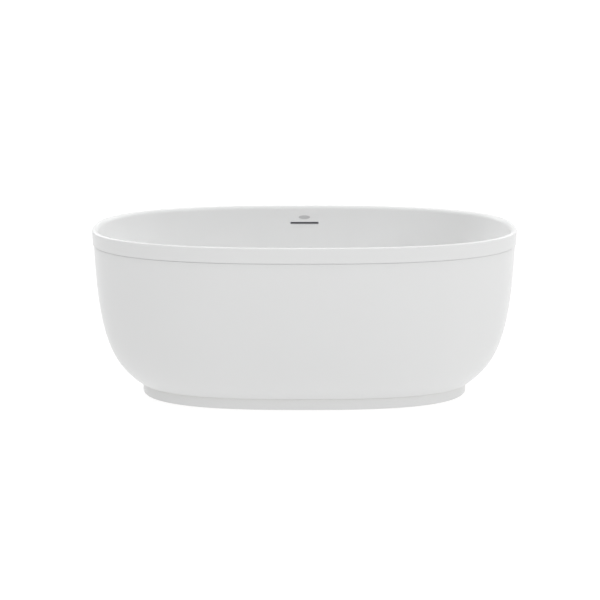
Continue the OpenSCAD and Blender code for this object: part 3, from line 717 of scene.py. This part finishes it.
# the plate's outline from its back to the middle of its face: share of its size, height in mm
PLATE_PROFILE = ((1, 0.3), (1, 0.75), (0.985, 0.93), (0.95, 1.0), (0.7, 1.05), (0.35, 1.08),
                 (0.05, 1.09))


def at_wall(place):
    """The frame of the rear wall: local +Y points out through it and +Z up along it."""
    _, half_width, z, _ = wall_size(place, 0)
    run = bezier_slope(WALL_REACH, place) * WALL_SIDE_RUN
    rise = bezier_slope(WALL_HEIGHTS, place)
    return Matrix.Translation((0, half_width, z)) @ Matrix.Rotation(-math.atan(-run / rise), 4, "X")


def stadium(length, height, depth):
    """The slot's round-ended outline in the wall's plane, at a depth through the wall."""
    matrix = at_wall(SLOT_PLACE)
    radius = height / 2
    straight = length / 2 - radius
    points = []
    for side, start in ((1, -90), (-1, 90)):
        for degrees in spread(start, start + 180, 24):
            angle = math.radians(degrees)
            points.append(matrix @ Vector((side * straight + radius * math.cos(angle), depth,
                                           radius * math.sin(angle))))
    return points


def stadium_loft(sections, looped=False, capped=False):
    """A shape through the wall at the slot, from (length, height, depth) sections."""
    return outward(loft([stadium(*section) for section in sections], looped, capped))


def build_trim():
    """A chromed sleeve through the wall with a narrow rolled lip."""
    front, back, sleeve = -1.3 * MM, -0.3 * MM, 1.2 * MM
    sleeve_end = BASIN_WALL - 0.5 * MM
    section = rounded([(0, front), (TRIM_LIP, front), (TRIM_LIP, back), (sleeve, back),
                       (sleeve, sleeve_end), (0, sleeve_end)], 0.5 * MM)
    ring = stadium_loft([(SLOT_LENGTH + 2 * grow, SLOT_HEIGHT + 2 * grow, depth)
                         for grow, depth in section], looped=True)
    add_piece("overflow_trim_ring", ring, "overflow_trim")


def build_plate():
    """The maker's plate: a plain oval with a rounded edge and a faintly domed face."""
    matrix = at_wall(PLATE_PLACE)
    half_length, half_height = PLATE_SIZE[0] / 2, PLATE_SIZE[1] / 2
    loops = []
    for share, height in PLATE_PROFILE:
        loops.append([matrix @ Vector((x * half_length, -height * MM, y * half_height))
                      for x, y, _ in circle(share, 0, 72)])
    add_piece("maker_plate_blank", outward(loft(loops, capped=True)), "maker_plate")


# ---------------------------------------------------------------- fasteners and feet

ROUND_COUNT = 72
THREAD_STEPS = 6
CORNERS = ("front_left", "front_right", "rear_left", "rear_right")
NUT_BORES = {"foot_weld_nuts": 6.06 * MM, "foot_lock_nuts": 6.06 * MM,
             "bracket_nuts": 3.06 * MM, "drain_lock_nut": 25.06 * MM}
# node: head height, shank radius, and whether it points down
SCREWS = {"frame_screws": (3 * MM, 2.4 * MM, False), "bracket_screws": (2.5 * MM, 2 * MM, False),
          "plinth_screws": (2.6 * MM, 2 * MM, False), "bracket_bolts": (4 * MM, 3 * MM, True)}
PAD_COUNT = 96
PAD_SOCKET_HEIGHT = 8 * MM
STEM_COUNT = 48
STEM_PITCH = 1.75 * MM


def islands(node):
    """The (low, high) box of every separate solid in a CAD node."""
    bm = cad_mesh(node)
    seen = set()
    boxes = []
    for start in bm.verts:
        if start in seen:
            continue
        seen.add(start)
        stack, points = [start], []
        while stack:
            vert = stack.pop()
            points.append(vert.co)
            for edge in vert.link_edges:
                other = edge.other_vert(vert)
                if other not in seen:
                    seen.add(other)
                    stack.append(other)
        boxes.append((Vector(map(min, zip(*points))), Vector(map(max, zip(*points)))))
    bm.free()
    return boxes


def middle(low, high):
    return ((low[0] + high[0]) / 2, (low[1] + high[1]) / 2)


def hex_loop(center, corner_r, z, chamfer=0):
    """A hexagon's outline; a chamfer drops (or lifts) its corners towards the flats."""
    apothem = corner_r * math.cos(math.radians(30))
    points = []
    for angle in turn_angles(ROUND_COUNT):
        radius = apothem / math.cos(angle % math.radians(60) - math.radians(30))
        points.append((center[0] + radius * math.cos(angle), center[1] + radius * math.sin(angle),
                       z - (radius - apothem) * chamfer))
    return points


def hex_nut(center, corner_r, bore_r, low_z, high_z):
    """A nut with its corners chamfered at both ends and its thread countersunk."""
    edge, sink, chamfer = 0.25 * MM, 0.6 * MM, 0.55
    flat = corner_r * math.cos(math.radians(30)) - edge

    def ring(radius, z):
        return circle(radius, z, ROUND_COUNT, center)

    return loft([
        ring(bore_r, low_z + sink), ring(bore_r + sink, low_z), ring(flat, low_z),
        hex_loop(center, corner_r, low_z + edge, -chamfer),
        hex_loop(center, corner_r, high_z - edge, chamfer),
        ring(flat, high_z), ring(bore_r + sink, high_z), ring(bore_r, high_z - sink),
    ], looped=True)


def thread(center, radius, from_z, to_z, pitch, depth, count):
    """Loops of a rolled thread that runs out smoothly at both ends."""
    steps = max(8, round(abs(to_z - from_z) / pitch * THREAD_STEPS))
    loops = []
    for step in range(steps + 1):
        z = lerp(from_z, to_z, step / steps)
        fade = min(1, step / THREAD_STEPS, (steps - step) / THREAD_STEPS)
        loop = []
        for i, angle in enumerate(turn_angles(count)):
            wave = (z / pitch - i / count) % 1
            dip = depth * fade * (1 - abs(2 * wave - 1)) ** 0.8
            loop.append((center[0] + (radius - dip) * math.cos(angle),
                         center[1] + (radius - dip) * math.sin(angle), z))
        loops.append(loop)
    return loops


def pan_screw(center, head_z, tip_z, head_r, shank_r, head_height):
    """A pan-head screw with a six-point socket. It points up when its tip is above its head."""
    way = 1 if tip_z > head_z else -1
    seat_z = head_z + way * head_height
    socket_r = head_r * 0.42
    dome = head_height * 0.45
    loops = [hex_loop(center, socket_r * 0.9, head_z + way * head_height * 0.55),
             hex_loop(center, socket_r, head_z + way * head_height * 0.12)]
    loops += [circle(radius, z, ROUND_COUNT, center) for radius, z in (
        (head_r * 0.62, head_z), (head_r * 0.86, head_z + way * dome * 0.35),
        (head_r * 0.97, head_z + way * dome), (head_r, seat_z - way * 0.3 * MM),
        (head_r, seat_z), (shank_r, seat_z))]
    loops += thread(center, shank_r, seat_z + way * 0.5 * MM, tip_z - way * 0.6 * MM,
                    pitch=shank_r * 0.35, depth=shank_r * 0.12, count=ROUND_COUNT)
    loops += [circle(shank_r * 0.72, tip_z, ROUND_COUNT, center)]
    return outward(loft(loops, capped=True))


def build_nuts():
    """Every plain nut: where it is and how tall comes from the CAD node."""
    for node, bore_r in NUT_BORES.items():
        nuts = [hex_nut(middle(low, high), (high[0] - low[0]) / 2, bore_r, low[2], high[2])
                for low, high in islands(node)]
        add_piece(f"{node}_chamfered", merge(*nuts), node)


def build_screws():
    """Every screw and bolt, from the box of its solid in the CAD node."""
    for node, (head_height, shank_r, points_down) in SCREWS.items():
        screws = []
        for low, high in islands(node):
            head_z, tip_z = (high[2], low[2]) if points_down else (low[2], high[2])
            screws.append(pan_screw(middle(low, high), head_z, tip_z, (high[0] - low[0]) / 2,
                                    shank_r, head_height))
        add_piece(f"{node}_threaded", merge(*screws), node)


def grip(radius, z, base_z, center):
    """A pad outline with shallow finger ribs on its sloping shoulder."""
    on_shoulder = base_z + 5.5 * MM < z < base_z + 13.5 * MM and radius > 15 * MM
    rib_depth = 0.5 * MM if on_shoulder else 0
    points = []
    for angle in turn_angles(PAD_COUNT):
        r = radius - rib_depth * (1 + math.cos(24 * angle)) / 2
        points.append((center[0] + r * math.cos(angle), center[1] + r * math.sin(angle), z))
    return points


def foot_pad(low, high):
    """A ribbed pad that fills a box, with a socket for its stem."""
    center, base_z, top_z = middle(low, high), low[2], high[2]
    socket_z = base_z + PAD_SOCKET_HEIGHT
    profile = rounded([(30 * MM, base_z), (30 * MM, base_z + 5 * MM),
                       (14 * MM, base_z + 14 * MM), (14 * MM, top_z), (5.06 * MM, top_z),
                       (5.06 * MM, socket_z)], 1.2 * MM)
    loops = [circle(radius, base_z, PAD_COUNT, center) for radius in (0.2 * MM, 26 * MM)]
    loops += [grip(radius, z, base_z, center) for radius, z in profile]
    loops += [circle(0.2 * MM, socket_z, PAD_COUNT, center)]
    return outward(loft(loops, capped=True))


def foot_stem(center, low_z, high_z, pad_top_z):
    """A stem: its pivot in the pad, its hexagon collar just above and its thread up to the top."""
    collar_z = pad_top_z + 0.3 * MM
    collar = hex_nut(center, 9.8 * MM, 4.8 * MM, collar_z, collar_z + 10 * MM)
    pivot = loft([circle(radius, z, STEM_COUNT, center) for radius, z in (
        (3.8 * MM, low_z), (5 * MM, low_z + 1 * MM), (5 * MM, collar_z + 1 * MM))], capped=True)
    rod = loft([circle(5.4 * MM, collar_z + 5 * MM, STEM_COUNT, center)]
               + thread(center, 6 * MM, collar_z + 10.5 * MM, high_z - 1 * MM,
                        STEM_PITCH, depth=1 * MM, count=STEM_COUNT)
               + [circle(4.6 * MM, high_z, STEM_COUNT, center)], capped=True)
    return merge(collar, outward(pivot), outward(rod))


def build_feet():
    for corner in CORNERS:
        pad, stem = f"foot_pad_{corner}", f"foot_stem_{corner}"
        low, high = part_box(pad)
        stem_low, stem_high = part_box(stem)
        add_piece(f"{pad}_ribbed", foot_pad(low, high), pad)
        add_piece(f"{stem}_threaded",
                  foot_stem(middle(low, high), stem_low[2], stem_high[2], high[2]), stem)


# ---------------------------------------------------------------- drain

TURNED_COUNT = 128
HUB_HEIGHTS = (102, 110)
CAP_R = 29.8 * MM
CAP_EDGE = 1.3 * MM
CAP_RECESS = 2.6 * MM
WIRE_R = 0.6 * MM
COIL_R = 5.4 * MM
COIL_TURNS = 5
COIL_STEPS = 48
WIRE_SIDES = 12
# how steeply the end turns climb, as a share of the middle ones
CLOSED_SHARE = 0.75


def millimetres(pairs):
    return [(a * MM, b * MM) for a, b in pairs]


def box_profile(low_a, high_a, low_b, high_b):
    """A rectangle's corners in turn, in metres from millimetres."""
    return millimetres([(low_a, low_b), (high_a, low_b), (high_a, high_b), (low_a, high_b)])


def build_flange():
    """The dished drain ring with its hub and four spokes."""
    low, top = (corner[2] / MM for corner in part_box("drain_flange"))
    ring = lathe(rounded(millimetres([
        (21, low), (25, low), (25, top - 3.1), (36, top - 3.1), (36, top - 1.4), (33.6, top),
        (31, top), (30.4, top - 1.6), (22.5, top - 1.6), (21, top - 3.1)]), 0.7 * MM),
        TURNED_COUNT)
    hub = lathe(rounded(box_profile(4.06, 8, *HUB_HEIGHTS), 0.8 * MM), 64)
    section = rounded(box_profile(-1.5, 1.5, *HUB_HEIGHTS), 0.9 * MM)
    spokes = []
    for degrees in (45, 135, 225, 315):
        matrix = Matrix.Rotation(math.radians(degrees), 4, "Z")
        spokes.append(loft([[matrix @ Vector((x, y, z)) for y, z in section]
                            for x in (6 * MM, 22 * MM)], capped=True))
    add_piece("drain_flange_turned", outward(merge(ring, hub, *spokes)), "drain_flange")


def build_cap():
    """The stopper's domed cap, hollow underneath round its tip."""
    under_z, top_z = (corner[2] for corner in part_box("stopper_cap"))
    edge_z = under_z + CAP_EDGE
    profile = [(3.06 * MM, under_z), (29.2 * MM, under_z), (CAP_R, under_z + 0.5 * MM),
               (CAP_R, edge_z)]
    for degrees in range(6, 90, 6):
        angle = math.radians(degrees)
        profile.append((CAP_R * math.cos(angle),
                        edge_z + (top_z - under_z - CAP_EDGE) * math.sin(angle) ** 0.8))
    profile += [(0.1 * MM, top_z), (0.1 * MM, under_z + CAP_RECESS),
                (3.06 * MM, under_z + CAP_RECESS)]
    add_piece("stopper_cap_polished", outward(lathe(profile, TURNED_COUNT)), "stopper_cap",
              angle=math.radians(50))


def build_tailpiece():
    """The drawn tailpiece and the nut that holds it."""
    profile = [(17.65, 8), (19.05, 8), (19.05, 44), (18.7, 44), (18.7, 70), (17.65, 70)]
    tube = lathe(rounded(millimetres(profile), 0.5 * MM), TURNED_COUNT)
    add_piece("tailpiece_drawn", outward(tube), "tailpiece")
    nut = hex_nut((0, 0), 30 * MM, 18.76 * MM, 44 * MM, 62 * MM)
    add_piece("tailpiece_nut_chamfered", nut, "tailpiece_nut")


def build_spring():
    """The stopper's spring: nearly closed at its ends, and stretched as the stopper lifts."""
    low_z, high_z = (corner[2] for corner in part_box("click_spring"))
    steps = COIL_TURNS * COIL_STEPS
    climbs = [0]
    for i in range(steps):
        opened = min(1, i / COIL_STEPS, (steps - 1 - i) / COIL_STEPS)
        climbs.append(climbs[-1] + lerp(CLOSED_SHARE, 1, opened))
    loops = []
    for i, climb in enumerate(climbs):
        turn = math.tau * i / COIL_STEPS
        z = lerp(low_z + WIRE_R, high_z - WIRE_R, climb / climbs[-1])
        loop = []
        for angle in turn_angles(WIRE_SIDES):
            radius = COIL_R + WIRE_R * math.cos(angle)
            loop.append((radius * math.cos(turn), radius * math.sin(turn),
                         z - WIRE_R * math.sin(angle)))
        loops.append(loop)
    spring = add_piece("click_spring_wound", outward(loft(loops, capped=True)), "click_spring",
                       rides=False)
    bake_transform(spring, BODY_OF["click_cartridge"], BODY_OF["click_spring"],
             start=(0, 0, low_z + WIRE_R), end=(0, 0, high_z - WIRE_R))
    # every ring of the wire moves as one, so that the wire keeps its thickness
    share = spring.data.attributes["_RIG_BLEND"].data
    values = np.empty(len(share), np.float32)
    share.foreach_get("value", values)
    share.foreach_set("value", np.repeat(values.reshape(-1, WIRE_SIDES).mean(axis=1), WIRE_SIDES))


# ---------------------------------------------------------------- overflow hose

HOSE_TOP = (0, 18 * MM, -114 * MM)
HOSE_BEND_R = 90 * MM
HOSE_PORT_Z = 80 * MM
HOSE_END_Y = 36 * MM
HOSE_R = 12.95 * MM
HOSE_BORE_R = 10.4 * MM
HOSE_STEP = 1.25 * MM
RIDGE_DEPTH = 1.7 * MM
RIDGE_STEPS = 4
CUFF_STEPS = 20


def hose_path():
    """Stations (y, z, lean from level) down the hose: a drop, a bend and a level run."""
    matrix = at_wall(SLOT_PLACE)
    start = matrix @ Vector(HOSE_TOP)
    down = -(matrix.to_3x3() @ Vector((0, 0, 1)))
    lean = math.atan2(-down.z, -down.y)
    drop = (start.z - HOSE_PORT_Z - HOSE_BEND_R * (1 - math.cos(lean))) / math.sin(lean)
    center_y = start.y - drop * math.cos(lean) - HOSE_BEND_R * math.sin(lean)
    drop_steps = round(drop / HOSE_STEP)
    bend_steps = round(HOSE_BEND_R * lean / HOSE_STEP)
    run_steps = max(1, round((center_y - HOSE_END_Y) / HOSE_STEP))
    path = []
    for i in range(drop_steps):
        spot = start + down * (drop * i / drop_steps)
        path.append((spot.y, spot.z, lean))
    for i in range(bend_steps):
        angle = lean * (1 - i / bend_steps)
        path.append((center_y + HOSE_BEND_R * math.sin(angle),
                     HOSE_PORT_Z + HOSE_BEND_R * (1 - math.cos(angle)), angle))
    path += [(y, HOSE_PORT_Z, 0) for y in spread(center_y, HOSE_END_Y, run_steps)]
    return path


def hose_ring(station, radius):
    """A circle round the hose at a station."""
    y, z, lean = station
    return [(radius * math.cos(angle), y - radius * math.sin(angle) * math.sin(lean),
             z + radius * math.sin(angle) * math.cos(lean)) for angle in turn_angles(40)]


def build_hose():
    """A corrugated hose with plain cuffs at both ends for the clamps."""
    path = hose_path()
    loops = []
    for i, station in enumerate(path):
        in_cuff = min(i, len(path) - 1 - i) < CUFF_STEPS
        ridge = 0 if in_cuff else 0.5 - 0.5 * math.cos(math.tau * i / RIDGE_STEPS)
        loops.append(hose_ring(station, HOSE_R - RIDGE_DEPTH * ridge))
    loops += [hose_ring(station, HOSE_BORE_R) for station in path[::-RIDGE_STEPS]]
    add_piece("overflow_hose_corrugated", outward(loft(loops, looped=True)), "overflow_hose",
              angle=math.radians(80))


# ---------------------------------------------------------------- frame and softened parts

TUBE_SIZE = 25 * MM
TUBE_WALL = 2 * MM
FOOT_HOLE_R = 6.6 * MM
# how far each part's edges are rounded, in millimetres
EDGE_WIDTHS = {
    "base_board": 1.2, "frame_brackets": 0.6, "flange_gasket": 0.2, "drain_gasket": 0.6,
    "drain_washer": 0.3, "waste_tee": 0.7, "tee_seal": 0.5, "tailpiece_washer": 0.6,
    "click_cartridge": 0.25, "click_plunger": 0.25, "stopper_seal": 0.4,
    "overflow_gasket": 0.25, "overflow_housing": 0.5, "hose_clamps": 0.2,
}


def square(size, corner_r):
    """A rounded square of (across, up) pairs."""
    half = size / 2
    return rounded([(-half, -half), (half, -half), (half, half), (-half, half)], corner_r)


def square_tube(low, high, along_x):
    """A length of drawn square tube that fills a box."""
    x, y, z = (low + high) / 2
    half = (high - low)[0 if along_x else 1] / 2
    outer, inner = square(TUBE_SIZE, 3 * MM), square(TUBE_SIZE - 2 * TUBE_WALL, 1.5 * MM)
    loops = []
    for section, along in ((outer, -half), (outer, half), (inner, half), (inner, -half)):
        if along_x:
            loops.append([(x + along, y + across, z + up) for across, up in section])
        else:
            loops.append([(x + across, y + along, z + up) for across, up in section])
    return loft(loops, looped=True)


def build_frame():
    """Square tube, drilled underneath where the feet go in."""
    for node, along_x in (("frame_rails", True), ("cross_members", False)):
        tubes = merge(*[square_tube(low, high, along_x) for low, high in islands(node)])
        piece = add_piece(f"{node}_drawn", outward(tubes), node)
        if node == "frame_rails":
            low_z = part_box(node)[0][2]
            drills = []
            for corner in CORNERS:
                center = middle(*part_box(f"foot_pad_{corner}"))
                drills.append(loft([circle(FOOT_HOLE_R, low_z + height, 48, center)
                                    for height in (-1 * MM, 3 * MM)], capped=True))
            cut(piece, merge(*drills))


def build_softened():
    """Moulded, pressed and cut parts keep their CAD shape with their edges broken."""
    for node, width in EDGE_WIDTHS.items():
        soften(node, width * MM)


# ---------------------------------------------------------------- run

MATERIALS = make_materials()
add_camera()
add_world((1, 1, 1), WORLD_STRENGTH)
add_floor()
for light, (azimuth, elevation, distance, light_size, power) in SOFT_BOXES.items():
    add_light(light, around(azimuth, elevation, distance), LIGHT_AIM, light_size, power)
for node, cad in NODES.items():
    cad.data.materials.clear()
    cad.data.materials.append(MATERIALS[SLOT_OF[node]])
build_basin()
build_skirt()
build_plinth()
build_seam()
build_adhesive()
build_trim()
build_plate()
build_frame()
build_nuts()
build_screws()
build_feet()
build_flange()
build_cap()
build_tailpiece()
build_spring()
build_hose()
build_softened()

bpy.context.scene.view_settings.view_transform = "Standard"
